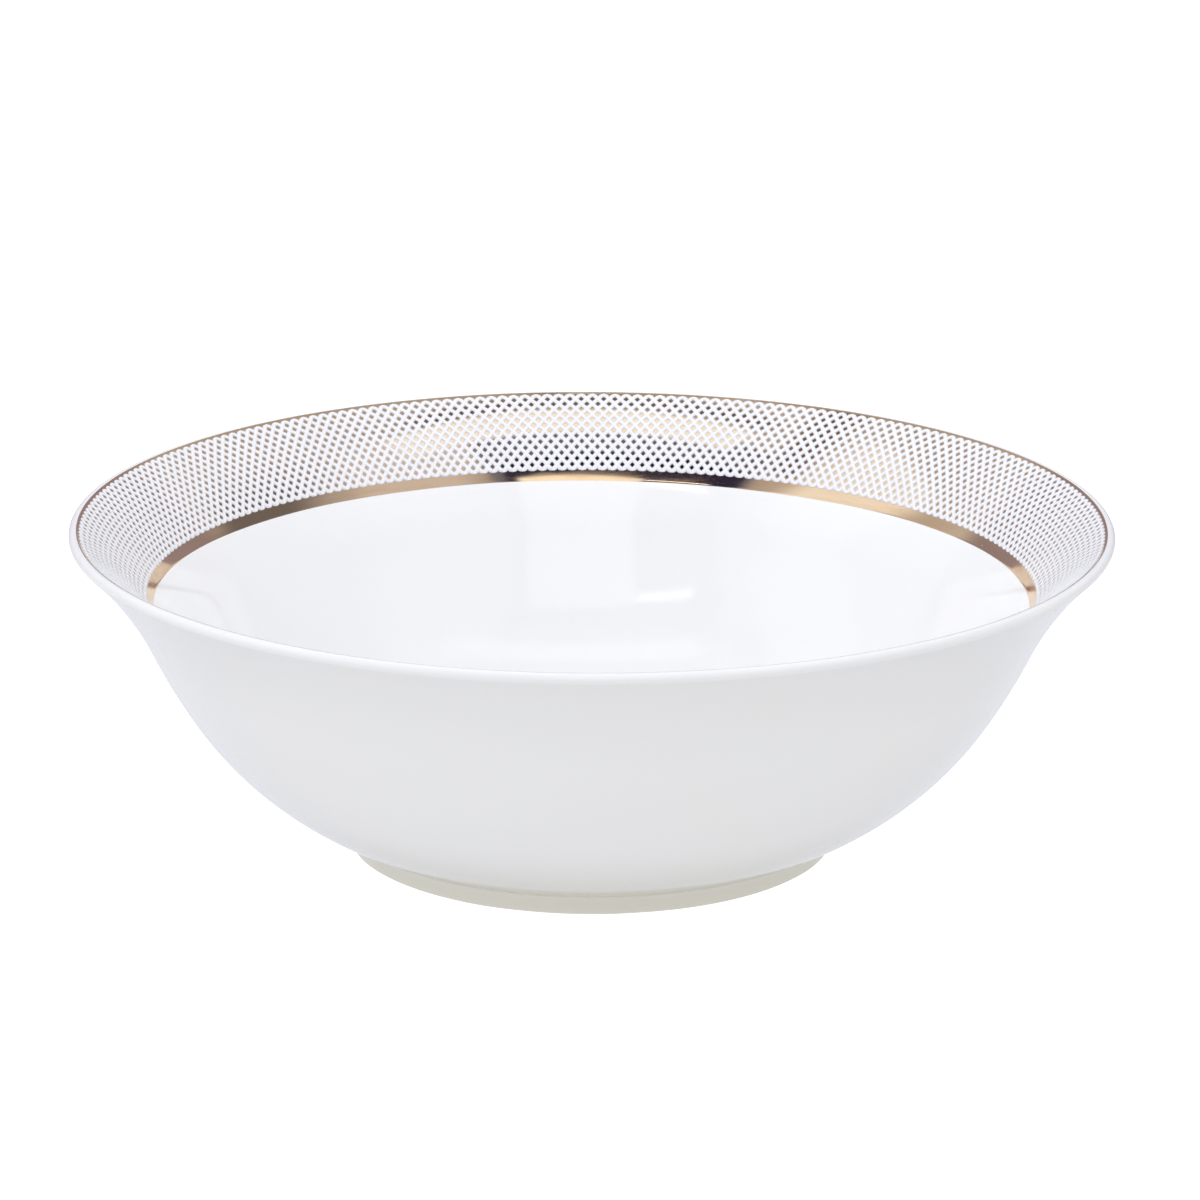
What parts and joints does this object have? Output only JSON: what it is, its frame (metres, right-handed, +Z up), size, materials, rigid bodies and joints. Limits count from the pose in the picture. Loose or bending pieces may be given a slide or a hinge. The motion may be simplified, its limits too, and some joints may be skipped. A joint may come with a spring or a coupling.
{
  "type": "porcelain serving bowl",
  "caption": "Round open serving bowl with a flared rim, a foot ring and a border of white net enamel over gold inside the rim.",
  "frame": {"origin": "centre of the resting face, on the bowl's axis", "axes": "+Z up along the axis of turning, out of the bowl's mouth; the bowl is the same in every direction round Z"},
  "size_m": [0.2303, 0.2304, 0.0732],
  "materials": {
    "bone_china": "fired bone china, matt where bare",
    "foot_china": "fired bone china, bare and slightly rough on the resting face",
    "clear_glaze": "high gloss clear glaze over white china",
    "base_glaze": "gloss clear glaze under the well",
    "burnished_gold": "bright fired gold, thin banded line",
    "ground_gold": "bright fired gold under the net",
    "band_gold": "bright fired gold, mirror smooth with faint brush marks",
    "white_enamel": "raised white relief enamel, satin gloss"
  },
  "bodies": {
    "root": {"china_body": "bone_china", "foot_ring": "foot_china", "glaze_coat": "clear_glaze", "base_glaze": "base_glaze", "gold_edge_line": "burnished_gold", "gold_ground": "ground_gold", "gold_band": "band_gold", "enamel_net": "white_enamel"}
  },
  "joints": []
}
